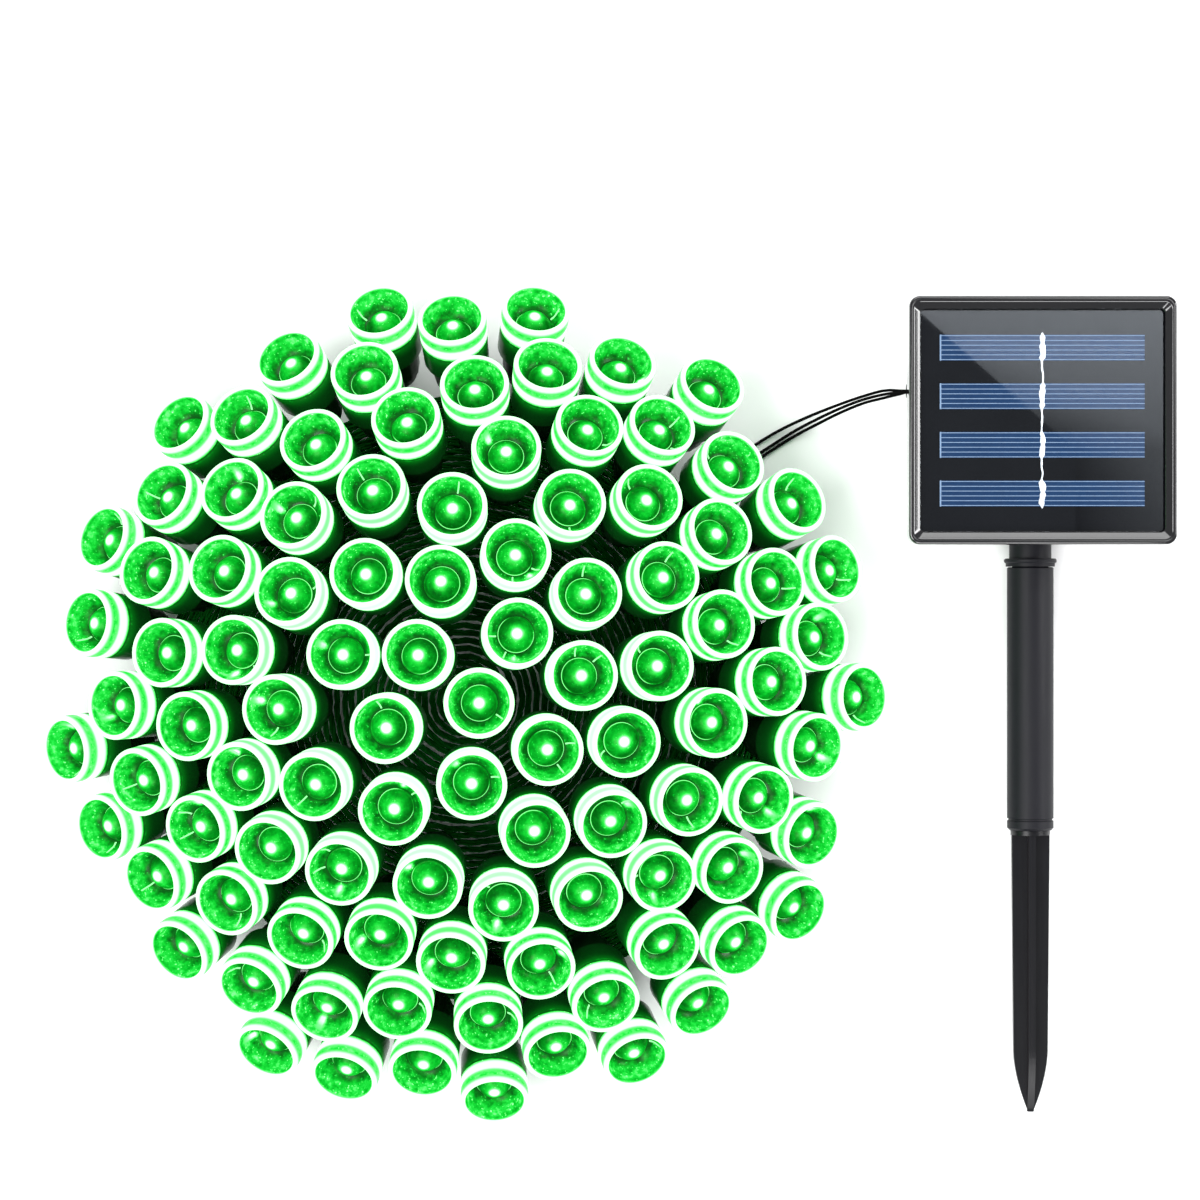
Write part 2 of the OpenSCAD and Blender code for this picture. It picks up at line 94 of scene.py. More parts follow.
# %% A value in a material
class Value:
    """One number of a material that changes over the surface."""

    def __init__(self, finish, socket):
        self.finish = finish
        self.socket = socket

    def maths(self, operation, *others):
        return self.finish.add("Math", {"operation": operation}, dict(enumerate([self, *others])))

    def __add__(self, other):
        return self.maths("ADD", other)

    def __sub__(self, other):
        return self.maths("SUBTRACT", other)

    def __rsub__(self, other):
        return self.finish.add("Math", {"operation": "SUBTRACT"}, {0: other, 1: self})

    def __mul__(self, other):
        return self.maths("MULTIPLY", other)

    def __pow__(self, other):
        return self.maths("POWER", other)

    def above(self, level, soft):
        """0 below level, 1 above level + soft, and a smooth step between them."""
        settings = {"interpolation_type": "SMOOTHSTEP"}
        return self.finish.add("MapRange", settings, {0: self, 1: level, 2: level + soft})

    __radd__ = __add__
    __rmul__ = __mul__


# %% A finish
class Finish:
    """A material: its tree, the ways to add to it, and its Principled surface."""

    def __init__(self, name):
        self.material = bpy.data.materials.new(name)
        self.material.use_nodes = True
        self.tree = self.material.node_tree
        self.tree.nodes.clear()

    def fill(self, socket, value):
        if isinstance(value, Value):
            self.tree.links.new(value.socket, socket)
        elif value is not None:
            socket.default_value = value

    def add(self, kind, settings=None, inputs=None, out=0):
        """Adds a node, sets its settings and a ramp's stops, then fills its sockets."""
        node = self.tree.nodes.new("ShaderNode" + kind)
        for key, setting in (settings or {}).items():
            if key == "stops":
                for element, (at, colour) in zip(self.ramp_elements(node, len(setting)), setting):
                    element.position = at
                    element.color = (*colour, 1)
            else:
                setattr(node, key, setting)
        for key, value in (inputs or {}).items():
            self.fill(node.inputs[key], value)
        return Value(self, node.outputs[out]) if node.outputs else None

    def ramp_elements(self, node, count):
        elements = node.color_ramp.elements
        for _ in range(count - 2):
            elements.new(0.5)
        return list(elements)

    def place(self, scale=(1, 1, 1)):
        """Object coordinates in metres, stretched along each axis."""
        at = self.add("TexCoord", out="Object")
        return self.add("Mapping", {}, {"Vector": at, "Scale": scale})

    def noise(self, size, detail=2.0, rough=0.5, scale=(1, 1, 1)):
        """Cloudy noise from 0 to 1 whose lumps are about size metres across."""
        inputs = {"Vector": self.place(scale), "Scale": 1 / size, "Detail": detail, "Roughness": rough}
        return self.add("TexNoise", {}, inputs)

    def mix(self, factor, a, b):
        """Colour a where the factor is 0 and colour b where it is 1."""
        a, b = [(*c, 1) if isinstance(c, tuple) else c for c in (a, b)]
        return self.add("Mix", {"data_type": "RGBA"}, {0: factor, 6: a, 7: b}, out=2)

    def bump(self, height, strength, depth):
        inputs = {"Strength": strength, "Distance": depth, "Height": height}
        return self.add("Bump", {}, inputs)

    def surface(self, **sockets):
        """The Principled surface. Underscores in a socket's name stand for spaces."""
        inputs = {}
        for key, value in sockets.items():
            value = (*value, 1) if isinstance(value, tuple) else value
            inputs[key.replace("_", " ")] = value
        shader = self.add("BsdfPrincipled", {}, inputs)
        self.add("OutputMaterial", {}, {"Surface": shader})
        return self.material


print("shader tools ready")

# %% [markdown]
# ## Surfaces as arrays
#
# Every new piece is a grid of points: rows along a profile, columns around it or along a
# route. numpy works out all the points at once, and one helper turns them into a mesh,
# welds seams and poles, and turns the faces outwards.


# %% From arrays to a piece
def grid_faces(rows, columns, copies=1, wrap_rows=False):
    """Four corners of each face of a grid, as point numbers, for several equal grids. The
    columns always close into a ring, and the rows do where wrap_rows says so."""
    i = np.arange(rows if wrap_rows else rows - 1)[:, None]
    j = np.arange(columns)[None, :]
    after_i, after_j = (i + 1) % rows, (j + 1) % columns
    corners = [i * columns + j, i * columns + after_j, after_i * columns + after_j, after_i * columns + j]
    one = np.stack([c + 0 * (i + j) for c in corners], -1).reshape(-1, 4)
    return (one[None] + rows * columns * np.arange(copies)[:, None, None]).reshape(-1, 4)


def make_piece(name, points, faces, material, slot, body=None, sharp=35, weld=1e-6, **values):
    """A welded, outward-facing mesh from arrays, with named values on its points."""
    mesh = bpy.data.meshes.new(name)
    mesh.from_pydata(np.asarray(points, float).reshape(-1, 3).tolist(), [], faces.tolist())
    for key, numbers in values.items():
        attribute = mesh.attributes.new(key, "FLOAT", "POINT")
        attribute.data.foreach_set("value", np.asarray(numbers, np.float32).ravel())
    work = bmesh.new()
    work.from_mesh(mesh)
    bmesh.ops.remove_doubles(work, verts=work.verts, dist=weld)
    bmesh.ops.dissolve_degenerate(work, edges=work.edges, dist=weld / 10)
    bmesh.ops.recalc_face_normals(work, faces=work.faces)
    work.to_mesh(mesh)
    work.free()
    mesh.shade_smooth()
    mesh.set_sharp_from_angle(angle=math.radians(sharp))
    mesh.materials.append(material)
    piece = bpy.data.objects.new(name, mesh)
    bpy.context.scene.collection.objects.link(piece)
    if body:
        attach(piece, body)
    return piece


def unit(v):
    return v / np.linalg.norm(v, axis=-1, keepdims=True)


def report(title, pieces):
    faces = sum(len(p.data.polygons) for p in pieces)
    print(f"{title}: {len(pieces)} piece(s), {faces} faces")


# %% [markdown]
# ## Where each bulb stands
#
# Each LED chip of the frame is a small cone on its bulb's axis. Its points lie within
# 5 mm of each other and 20 mm from the next chip, so they are easily sorted into bulbs.
# The thinnest direction of a chip is the bulb's axis, and the low end gives its place.


# %% Bulb frames
def chip_clusters(name, reach):
    """Splits a node's points into its solids: all points within reach of a first one."""
    left = np.unique(np.array([v.co for v in nodes[name].data.vertices]).round(7), axis=0)
    while len(left):
        near = np.linalg.norm(left - left[0], axis=1) < reach
        yield left[near]
        left = left[~near]


CHIP_Z = 30.7 * MM
random = np.random.default_rng(24)
feet, axes = [], []
for chip in chip_clusters("led_chips", 6 * MM):
    middle = chip.mean(0)
    axis = np.linalg.svd(chip - middle)[2][2]
    axis = axis * np.sign(axis[2])
    low = ((chip - middle) @ axis).min()
    feet.append(middle + axis * (low - CHIP_Z))
    axes.append(axis)
feet, axes = np.array(feet), np.array(axes)
bunch = np.array([*(sum(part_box("string_winding")[k][c] for k in (0, 1)) / 2 for c in (0, 1)), 0.0])
from_centre = np.hypot(*(feet - bunch)[:, :2].T)
spin = random.uniform(0, 2 * math.pi, len(feet))
side = unit(np.cross(axes, (0.0, 1.0, 0.0)))
other = np.cross(axes, side)
bulb_x = np.cos(spin)[:, None] * side + np.sin(spin)[:, None] * other
bulb_y = np.cross(axes, bulb_x)
print(len(feet), "bulbs, feet from", feet[:, 2].min().round(4), "to", feet[:, 2].max().round(4), "m up")

# %% [markdown]
# ## The string
#
# The real string is three thin insulated wires, twisted together. From the panel's gland
# they run side by side down to the table and in under the bunch. There the whole string,
# 15 m with a bulb every 0.15 m and 2 m of lead, is wound into a low dome, turn beside
# turn, with the bulbs standing out of it. The string ends in the last bulb's boot.
#
# A rope of three strands could be three curves with a bevel. One mesh along a smooth line
# is better here: it is one cord with one real length, and the strands can come apart
# near the panel. A direction is carried along the line without twisting, and each strand
# turns round the line in that frame.

# %% The line of the string
ROUTE_A = [(110, 116.4, 32), (106, 116.2, 31.6), (101, 115.6, 28.5), (95, 114.4, 22),
           (88, 112.4, 13.5), (80, 109.4, 6.5), (71, 105.6, 2.4), (61, 100, 0.9), (50, 92.2, 0.8),
           (42.2, 84.2, 0.8), (36.5, 77.1, 0.8)]
ROUTE_B = [(110, 115, 32.9), (106, 114.9, 32.4), (101, 114.2, 29), (95, 112.7, 21.8),
           (88, 110.1, 12.9), (80, 106.4, 5.8), (71, 101.7, 2), (61, 95.7, 0.9), (50, 88.5, 0.8),
           (42.9, 82.2, 0.8), (37.7, 75.7, 0.8)]
ROUTE_C = [(110, 113.8, 31.6), (106, 113.6, 31.1), (101, 112.7, 28.2), (95, 111, 21),
           (88, 108.2, 12.3), (80, 104.5, 5.1), (71, 99.8, 1.6), (61, 93.8, 0.9), (50, 86.6, 0.8),
           (43.8, 80.4, 0.8), (38.9, 74.2, 0.8)]
WIRE_R = 0.6 * MM
WIRE_SIDES = 6
TWIST_R = 0.72 * MM
TWIST_PITCH = 24 * MM
STRING_D = 2.6 * MM
TURN_PITCH = 2.78 * MM
gland_low, gland_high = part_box("cable_gland")
gland = np.array([gland_low.x, (gland_low.y + gland_high.y) / 2, (gland_low.z + gland_high.z) / 2])


def curve(points, steps):
    """Catmull-Rom line through the points: each span is a cubic of its four neighbours."""
    p = np.asarray(points, float)
    p = np.concatenate([[2 * p[0] - p[1]], p, [2 * p[-1] - p[-2]]])
    u = (np.arange(steps) / steps)[None, :, None]
    a, b, c, d = (p[k:len(p) - 3 + k, None] for k in range(4))
    line = 0.5 * (2 * b + (c - a) * u + (2 * a - 5 * b + 4 * c - d) * u**2
                  + (3 * b - a - 3 * c + d) * u**3)
    return np.concatenate([line.reshape(-1, 3), p[-2:-1]])


def evenly(line, step):
    """The same line with points at equal distances, by linear interpolation on its length."""
    far = np.concatenate([[0], np.cumsum(np.linalg.norm(np.diff(line, axis=0), axis=1))])
    at = np.linspace(0, far[-1], int(far[-1] / step) + 1)
    return np.stack([np.interp(at, far, line[:, k]) for k in range(3)], 1)


# %% The wound dome
winding_low, winding_high = (np.array(v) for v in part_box("string_winding"))
rim = (winding_high[0] - winding_low[0]) / 2 - STRING_D / 2 - 0.2 * MM
crown = winding_high[2] - STRING_D / 2 - 0.1 * MM
floor_gap = STRING_D / 2 + 0.15 * MM
INNER_TURN = 8 * MM
ENTRY_SWEEP = 0.62
WANDER = 0.4


def dome_spiral():
    """A spiral on a ball's top: the angle from the crown falls evenly as the line goes round,
    so the turns lie one pitch apart. Smooth random numbers make them wander a little. It
    starts where the lead has swept ENTRY_SWEEP round the edge."""
    rise = crown - floor_gap
    ball = (rim**2 + rise**2) / (2 * rise)
    lean_rim, lean_in = math.asin(rim / ball), INNER_TURN / ball
    turns = (lean_rim - lean_in) * ball / TURN_PITCH
    t = np.linspace(0, 1, int(turns * 40))
    knots = np.arange(0, turns, 1 / 3)
    wander = np.interp(t * turns, knots, random.uniform(-WANDER, WANDER, len(knots))) * MM
    wander = wander * np.clip(t * turns, 0, 1)
    lean = lean_rim + (lean_in - lean_rim) * t + wander / ball
    turn = start_turn - ENTRY_SWEEP - 2 * math.pi * turns * t
    r = ball * np.sin(lean)
    z = crown - ball * (1 - np.cos(lean))
    return np.stack([bunch[0] + r * np.cos(turn), bunch[1] + r * np.sin(turn), z], 1)


lead = (np.array(ROUTE_A) + np.array(ROUTE_C)) / 2 * MM
start_turn = math.atan2(lead[-1][1] - bunch[1], lead[-1][0] - bunch[0])
spiral = dome_spiral()
entry_turn = start_turn - np.array([0.03, 0.09, 0.18, 0.3, 0.44])
entry_r = rim - np.array([6, 10.5, 10, 5.5, 1.5]) * MM
entry = np.stack([bunch[0] + entry_r * np.cos(entry_turn), bunch[1] + entry_r * np.sin(entry_turn),
                  floor_gap + 0 * entry_r], 1)
last = np.argmin(from_centre)
into_last = np.array([feet[last] - axes[last] * 3 * MM, feet[last] + axes[last] * 3 * MM])
print("dome of string: radius", round(rim, 4), "m, height", round(crown, 4), "m")

# %% Measure the line and set its length
LEAD_STEPS = 12
LINE_STEP = 3.6 * MM
in_gland = np.array([gland + (1.2 * MM, 0, 0)])
lead_in = curve(np.concatenate([in_gland, lead, entry, spiral[:1]]), LEAD_STEPS)
lead_in[:, 2] = np.maximum(lead_in[:, 2], np.interp(lead_in[:, 0], (0.03, 0.06), (floor_gap, 0.7 * MM)))
climb = curve(np.concatenate([spiral[-1:], into_last]), 6)
line = evenly(np.concatenate([lead_in[:-1], spiral, climb[1:]]), LINE_STEP)
string_length = np.linalg.norm(np.diff(line, axis=0), axis=1).sum()
print("string line:", round(string_length, 2), "m in", len(line), "points")


# %% Strands round the line
def carried_normals(line):
    """A sideways direction at each point, carried along the line without twisting: from one
    point to the next only its part along the new tangent is taken away."""
    along = unit(np.gradient(line, axis=0))

    def carry(normal, tangent):
        normal = normal - tangent * (normal @ tangent)
        return normal / math.sqrt(normal @ normal)

    first = carry(np.array([0.0, 0.0, 1.0]), along[0])
    normals = np.array(list(itertools.accumulate(along[1:], carry, initial=first)))
    return normals, np.cross(along, normals)


def strand_offsets(line, normal, across):
    """Where each strand's centre lies from the line: its own route near the panel, and after
    that a circle round the line, a third of a turn apart, eased from one to the other."""
    far = np.linspace(0, string_length, len(line))
    routes = [curve(np.concatenate([in_gland, np.array(r) * MM]), LEAD_STEPS)
              for r in (ROUTE_A, ROUTE_B, ROUTE_C)]
    between = (routes[0] + routes[2]) / 2
    reach = np.linalg.norm(np.diff(between, axis=0), axis=1).sum()
    into = np.clip(far / reach, 0, 1)
    ease = np.clip((far - reach) / (25 * MM), 0, 1)[:, None]
    ease = ease * ease * (3 - 2 * ease)
    offsets = []
    for k, route in enumerate(routes):
        at = np.linspace(0, 1, len(route))
        own = np.stack([np.interp(into, at, route[:, c]) for c in range(3)], 1)
        middle = np.stack([np.interp(into, at, between[:, c]) for c in range(3)], 1)
        angle = (far / TWIST_PITCH + k / 3) * 2 * math.pi
        round_it = TWIST_R * (np.cos(angle)[:, None] * normal + np.sin(angle)[:, None] * across)
        offsets.append((own - middle) * (1 - ease) + round_it * ease)
    return offsets


def strand_tube(centre, normal, across):
    """Rings of a tube round a line: centre plus wire radius times the circle in its frame.
    The first and last rings shrink to a point, which closes the ends."""
    a = np.arange(WIRE_SIDES) * 2 * math.pi / WIRE_SIDES
    ring = np.cos(a)[None, :, None] * normal[:, None] + np.sin(a)[None, :, None] * across[:, None]
    points = centre[:, None] + WIRE_R * ring
    return np.concatenate([centre[:1, None] + 0 * ring[:1], points, centre[-1:, None] + 0 * ring[-1:]])


normal, across = carried_normals(line)
offsets = strand_offsets(line, normal, across)
string_points = np.stack([strand_tube(line + offset, normal, across) for offset in offsets])
ring_count = len(line) + 2
string_faces = grid_faces(ring_count, WIRE_SIDES, copies=len(offsets))
along_rings = np.linspace(0, string_length, ring_count)[None, :, None]
along_string = np.broadcast_to(along_rings, (len(offsets), ring_count, WIRE_SIDES))
print("strands:", len(offsets), "of", ring_count, "rings each")

# %% [markdown]
# ## Finishes of the string and the bulbs
#
# The wires are dark green plastic insulation with a dull sheen. Each cap is clear green
# plastic that carries the LED's light to its rim: the rim is so bright that it looks
# white, the dish inside is deep green, and the light fades down the wall. Real refraction
# would be noisy and is lost in an exported model, so the light is a number called `glow`
# on the cap's points, and a colour ramp turns it into light.


# %% Plain moulded materials
def moulded(name, colour, rough, grain=0.6 * MM, coat=0.0, shine=0.5):
    """Moulded plastic or rubber: fine grain as bump, a cloudy tone, and rubbed dull spots.
    shine is how much it mirrors, where 0.5 is ordinary plastic."""
    finish = Finish(name)
    fine = finish.noise(grain, 3)
    cloud = finish.noise(14 * MM, 2)
    rubbed = finish.noise(5 * MM, 4, 0.7).above(0.56, 0.12)
    lighter = tuple(min(c * 1.25 + 0.004, 1) for c in colour)
    darker = tuple(c * 0.75 for c in colour)
    base = finish.mix(cloud.above(0.35, 0.3), darker, lighter)
    return finish.surface(
        Base_Color=base, Roughness=rough + 0.08 * cloud + 0.07 * rubbed - 0.04,
        Coat_Weight=coat, Coat_Roughness=0.08, Specular_IOR_Level=shine,
        Normal=finish.bump(fine, 0.5, 0.02 * MM))


def plated(name, colour, rough, metal=1.0):
    """Plated or tinned metal: fine drawn lines and a few dull patches."""
    finish = Finish(name)
    lines = finish.noise(0.5 * MM, 3, 0.6)
    dull = finish.noise(3 * MM, 3, 0.6).above(0.5, 0.2)
    base = finish.mix(dull * 0.5, colour, tuple(0.7 * c for c in colour))
    return finish.surface(
        Base_Color=base, Metallic=metal, Roughness=rough + 0.15 * dull,
        Normal=finish.bump(lines, 0.3, 0.02 * MM))


wire_green = moulded("wire_insulation_green", (0.006, 0.03, 0.012), 0.42)


# %% The string as a piece
def insulation():
    """Wire insulation: black near the panel as on the lead, dark green along the bulbs."""
    finish = Finish("wire_insulation")
    far = finish.add("Attribute", {"attribute_name": "along"}, out=2)
    cloud = finish.noise(4 * MM, 2)
    on_bunch = far.above(0.12, 0.1)
    base = finish.mix(on_bunch, (0.002, 0.002, 0.002), (0.001, 0.085, 0.007))
    dark = finish.mix(on_bunch, (0.005, 0.005, 0.005), (0.0008, 0.035, 0.003))
    return finish.surface(
        Base_Color=finish.mix(cloud, base, dark), Roughness=0.5 + 0.2 * cloud, Specular_IOR_Level=0.01,
        Normal=finish.bump(finish.noise(0.8 * MM, 2), 0.4, 0.02 * MM))


string = make_piece("light_string", string_points, string_faces, insulation(), "string_green",
                    weld=1e-7, along=along_string)
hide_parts("string_winding", "lead_wire_a", "lead_wire_b", "lead_wire_c")
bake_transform(string)
report("string", [string])


# %% The light of the caps
def glowing(name, mottled, sparkle):
    """Clear green plastic that carries light. The ramp goes from unlit green, through deep
    and bright green, to light so strong that it is shown as white."""
    finish = Finish(name)
    glow = finish.add("Attribute", {"attribute_name": "glow"}, out=2)
    lumps = finish.noise(2.6 * MM, 3, 0.6) - 0.5
    specks = finish.noise(0.9 * MM, 1, 0.4).above(0.66, 0.07)
    inside = glow.above(0.3, 0.1) * (1 - glow.above(0.62, 0.06))
    lit = glow + inside * (lumps * mottled + specks * sparkle)
    stops = [(0.0, (0.0004, 0.004, 0.0008)), (0.2, (0.0004, 0.010, 0.0012)),
             (0.34, (0.0003, 0.05, 0.002)), (0.44, (0.0004, 0.14, 0.005)),
             (0.5, (0.0007, 0.22, 0.009)), (0.56, (0.003, 0.32, 0.016)),
             (0.63, (0.012, 0.4, 0.035)), (0.75, (0.14, 0.75, 0.18)),
             (0.9, (0.42, 0.97, 0.46)), (1.0, (0.56, 1.0, 0.6))]
    light = finish.add("ValToRGB", {"stops": stops}, {"Fac": lit})
    # The base colour is lighter where the glow is high, a lit copy of the same plastic: painted light.
    base = finish.mix(glow.above(0.3, 0.6), (0.0008, 0.03, 0.003), (0.002, 0.1, 0.008))
    return finish.surface(
        Base_Color=base, Roughness=0.25 + 0.1 * finish.noise(6 * MM, 2), Specular_IOR_Level=0.08,
        Emission_Color=light, Emission_Strength=2.0, Coat_Roughness=0.06,
        Coat_Weight=0.3 * (1 - glow.above(0.2, 0.15)),
        Normal=finish.bump(finish.noise(1.6 * MM, 2), 0.25, 0.05 * MM))


cap_finish = glowing("cap_green_clear", 0.6, 0.2)
lens_finish = glowing("led_green_clear", 0.34, 0.12)

# %% [markdown]
# ## Bulb caps and LED lenses
#
# A cap is a moulded tube with a groove round its wall, a rounded rim and a dish inside.
# It could be a CAD revolve, but the dish is what everybody looks at, so it is a profile
# of its own with the light written beside each point. All caps are worked out at once by
# turning the profile round each bulb's axis, and are then shared out over some pieces.
# The dish also gets one or two short bars at their own angle on each bulb, glowing as a
# painted reflection of the LED's legs, and the lens has a painted highlight, the fine bright
# ring at the LED's shoulder, with a gap that differs as well.

# %% Profiles
CAP = np.array([
    (10.3, 22.0, 0.08), (11.9, 22.0, 0.10), (12.05, 22.4, 0.12), (12.12, 26.0, 0.16),
    (12.17, 29.5, 0.23), (12.2, 32.4, 0.36), (11.8, 32.85, 0.3), (11.8, 33.15, 0.36),
    (12.3, 33.6, 0.52), (12.32, 34.1, 0.68), (12.34, 34.7, 0.88), (12.37, 35.4, 0.96),
    (12.4, 37.6, 0.97), (12.42, 38.3, 0.9), (12.44, 38.8, 0.74), (12.46, 39.5, 0.66),
    (12.48, 41.2, 0.64), (12.49, 42.0, 0.7), (12.5, 42.5, 0.82), (12.4, 43.1, 0.95),
    (12.1, 43.65, 1.0), (11.7, 43.95, 1.0), (11.3, 44.0, 1.0), (11.0, 43.85, 1.0),
    (10.85, 43.5, 0.95), (10.75, 43.0, 0.66), (10.6, 42.2, 0.56), (10.2, 40.4, 0.62),
    (9.7, 38.7, 0.58), (9.0, 37.0, 0.52), (8.2, 35.8, 0.45), (7.3, 35.1, 0.4),
    (6.65, 34.8, 0.35), (6.65, 33.8, 0.2), (8.4, 34.2, 0.1), (9.8, 36.4, 0.1),
    (10.8, 39.0, 0.1), (10.9, 25.4, 0.1), (10.3, 25.2, 0.1)])
# The glow of 0.76 to 0.8 at the lens's shoulder is a painted highlight: the bright ring at the LED's
# edge.
LENS = np.array([
    (0.0, 32.9, 0.1), (2.6, 32.7, 0.1), (2.6, 25.3, 0.1), (7.1, 25.3, 0.1), (7.1, 26.6, 0.1),
    (6.3, 26.9, 0.2), (6.3, 34.0, 0.34), (6.28, 34.6, 0.40), (6.38, 34.7, 0.76),
    (6.5, 34.88, 0.8), (6.36, 35.06, 0.76), (6.18, 35.1, 0.42), (5.9, 35.7, 0.40),
    (5.2, 37.05, 0.42), (4.4, 38.0, 0.45), (3.7, 38.6, 0.50), (3.1, 38.98, 0.55),
    (2.5, 39.27, 0.62), (2.05, 39.45, 0.76), (1.65, 39.58, 0.96), (1.0, 39.72, 1.0),
    (0.0, 39.8, 1.0)])
CAP_SIDES = 44
LENS_SIDES = 40
CAP_PIECES = 20
DISH_Z = 34.5
REFLECTION_BAR_POINTS = 12


def turned(profile, which, sides):
    """Points of a body of revolution on chosen bulbs: foot + radius times the circle in the
    bulb's own frame + height along its axis. The shape is (bulbs, rows, sides, 3)."""
    a = np.arange(sides) * 2 * math.pi / sides
    ring = (np.cos(a)[None, :, None] * bulb_x[which][:, None]
            + np.sin(a)[None, :, None] * bulb_y[which][:, None])
    radius, height = profile[:, 0] * MM, profile[:, 1] * MM
    return (feet[which][:, None, None] + radius[None, :, None, None] * ring[:, None]
            + height[None, :, None, None] * axes[which][:, None, None])


def angle_from(turns, sides):
    """Angle between each side of a body of revolution and a chosen angle, 0 to pi."""
    a = np.arange(sides) * 2 * math.pi / sides
    return np.abs((a[None, :] - turns[:, None] + math.pi) % (2 * math.pi) - math.pi)


# %% Caps, their painted reflection bars and lenses
dark_side = random.uniform(0, 2 * math.pi, len(feet))
gap_side = random.uniform(0, 2 * math.pi, len(feet))
gap_width = random.uniform(0.0, 1.1, len(feet))
# Angles and choice of the short dish bars, which glow as a painted reflection of the LED's legs.
reflection_bar_turn = random.uniform(0, 2 * math.pi, (len(feet), 2))
reflection_bar_turn[:, 1] = reflection_bar_turn[:, 0] + random.uniform(0.9, 1.7, len(feet))
reflection_bar_on = np.stack([random.uniform(0, 1, len(feet)) < 0.75, random.uniform(0, 1, len(feet)) < 0.3], 1)
# Painted reflection: a spot of added glow in the dish of some bulbs, with its place, size and strength.
GLINT_R = 8.4
GLINT_SIZE = 1.25
glint_turn = random.uniform(0, 2 * math.pi, len(feet))
glint_light = np.where(random.uniform(0, 1, len(feet)) < 0.6, random.uniform(0.5, 0.75, len(feet)), 0)


def cap_light(which):
    """Glow of each cap point: the profile's own, darker in two lobes low in the dish. On some
    bulbs a painted reflection is added to the dish, a bell curve round a place on its slope. On
    upright bulbs the green band of the wall is seen edge-on, and its glow is raised to 0.92 so
    that it looks white: painted light."""
    lobes = 0.5 + 0.5 * np.cos(2 * angle_from(dark_side[which], CAP_SIDES))
    low = np.clip((0.56 - CAP[:, 2]) / 0.2, 0, 1) * (CAP[:, 1] > DISH_Z)
    glow = CAP[None, :, 2, None] - 0.1 * low[None, :, None] * lobes[:, None, :]
    a = angle_from(glint_turn[which], CAP_SIDES)[:, None, :]
    beside = CAP[None, :, 0, None] * np.sin(np.minimum(a, math.pi / 2))
    outward = CAP[None, :, 0, None] * np.cos(a) - GLINT_R
    dish = (CAP[:, 1] > DISH_Z) & (CAP[:, 0] < 10.7)
    spot = np.exp(-(beside**2 + outward**2) / GLINT_SIZE**2) * glint_light[which][:, None, None]
    upright = np.clip((axes[which][:, 2] - 0.9) / 0.08, 0, 1)
    band = np.clip(0.92 - CAP[:, 2], 0, None) * ((CAP[:, 1] > 38.5) & (CAP[:, 0] > 12.4))
    return glow + spot * dish[None, :, None] + band[None, :, None] * upright[:, None, None]


def lens_light(which):
    """Glow of each lens point: the ring of painted highlight fades out over a gap, and one side is
    darker, a painted shade.
    """
    away = angle_from(gap_side[which], LENS_SIDES)
    open_ring = np.clip((away - gap_width[which][:, None]) / 0.5, 0, 1)
    ring = (LENS[:, 2] > 0.7) & (LENS[:, 0] > 6)
    shade = 0.06 * np.cos(angle_from(dark_side[which] + 0.8, LENS_SIDES))
    body = (LENS[:, 2] > 0.3) & (LENS[:, 2] < 0.52)
    glow = LENS[None, :, 2, None] - (ring[None, :, None] * 0.34) * (1 - open_ring[:, None, :])
    return glow + body[None, :, None] * shade[:, None, :]


def reflection_bar_points(bulb, turn):
    """A short bar lying on the dish that glows as a painted reflection of the LED's legs: a thin box from
    radius 7.1 to 10.2 mm, bent once.
    """
    out = np.cos(turn) * bulb_x[bulb] + np.sin(turn) * bulb_y[bulb]
    beside = np.cross(axes[bulb], out)
    run = np.array([(7.1, 35.0), (8.4, 35.95), (10.2, 40.0)]) * MM
    square = np.array([(-0.26, -0.3), (0.26, -0.3), (0.26, 0.34), (-0.26, 0.34)]) * MM
    centre = feet[bulb] + run[:, :1] * out + run[:, 1:] * axes[bulb]
    return centre[:, None] + square[None, :, :1] * beside + square[None, :, 1:] * axes[bulb]


BOX_FACES = np.concatenate([grid_faces(3, 4), [[0, 1, 2, 3], [8, 9, 10, 11]]])
shares = np.array_split(random.permutation(len(feet)), CAP_PIECES)
caps, lenses = [], []
for number, which in enumerate(shares, 1):
    shape = turned(CAP, which, CAP_SIDES)
    ribs = [reflection_bar_points(b, reflection_bar_turn[b, k]) for b in which for k in (0, 1) if reflection_bar_on[b, k]]
    points = np.concatenate([shape.reshape(-1, 3), np.array(ribs).reshape(-1, 3)])
    faces = grid_faces(len(CAP), CAP_SIDES, len(which), wrap_rows=True)
    extra = [BOX_FACES + shape.size // 3 + REFLECTION_BAR_POINTS * k for k in range(len(ribs))]
    # Each bar glows at 0.8 all over: a painted reflection of the LED's legs.
    glow = np.concatenate([cap_light(which).ravel(), np.full(REFLECTION_BAR_POINTS * len(ribs), 0.8)])
    caps.append(make_piece(f"bulb_cap_set_{number:02d}", points, np.concatenate([faces, *extra]),
                           cap_finish, "cap_green_clear", "head_and_string", sharp=50, glow=glow))
    shape = turned(LENS, which, LENS_SIDES)
    faces = grid_faces(len(LENS), LENS_SIDES, len(which))
    lenses.append(make_piece(f"led_lens_set_{number:02d}", shape, faces, lens_finish,
                             "led_green_clear", "head_and_string", glow=lens_light(which)))
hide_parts("bulb_caps")
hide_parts("led_lenses")
report("bulb caps", caps)
report("LED lenses", lenses)

# %% [markdown]
# ## Holders
#
# Under each cap is a dark green holder, a tapered cup with moulded ribs that the wires
# enter through a boot. It takes the green light of the cap above it. Its profile is
# turned like the cap's, and the radius is raised a little at each of its ribs.

